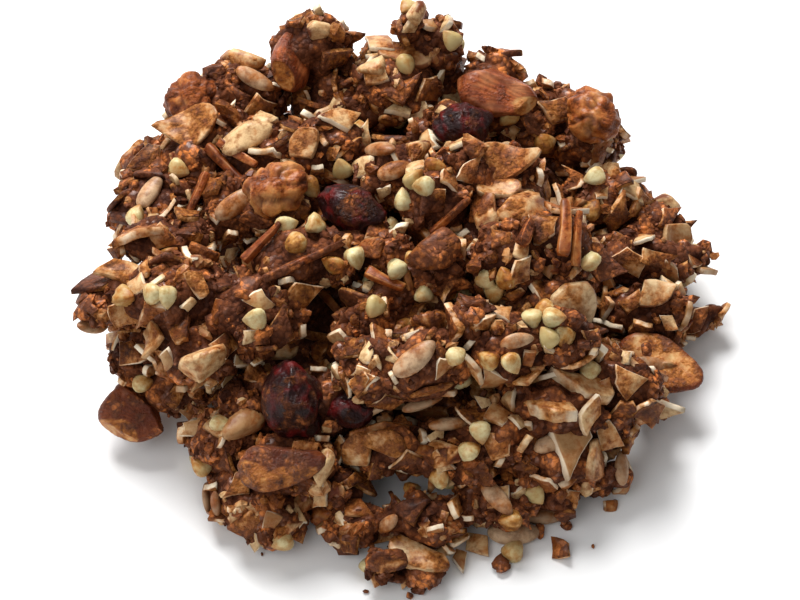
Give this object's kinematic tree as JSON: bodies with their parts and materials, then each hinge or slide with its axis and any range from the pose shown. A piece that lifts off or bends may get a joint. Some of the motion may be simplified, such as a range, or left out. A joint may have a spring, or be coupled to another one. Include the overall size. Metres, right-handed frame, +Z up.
{
  "type": "heap of granola",
  "caption": "Loose heap of chocolate granola clusters with buckwheat groats, sunflower kernels, sliced almonds, dried cranberries and whole almonds, lying on its base.",
  "frame": {"origin": "centre of the heap's outline on the surface it lies on", "axes": "+Z up, -Y towards the front of the heap, +X to its right"},
  "size_m": [0.1236, 0.1186, 0.0405],
  "materials": {
    "granola": "baked crumb, rough, slightly sticky",
    "dried_cranberry": "wrinkled, glossy",
    "almond_skin": "satin skin with fine lengthwise ridges"
  },
  "bodies": {
    "root": {"granola_heap": "granola", "dried_cranberry_front": "dried_cranberry", "dried_cranberry_top": "dried_cranberry", "dried_cranberry_back": "dried_cranberry", "dried_cranberry_low": "dried_cranberry", "almond_back_right": "almond_skin", "almond_back_left": "almond_skin", "almond_right": "almond_skin", "almond_left": "almond_skin", "almond_front": "almond_skin"}
  },
  "joints": []
}
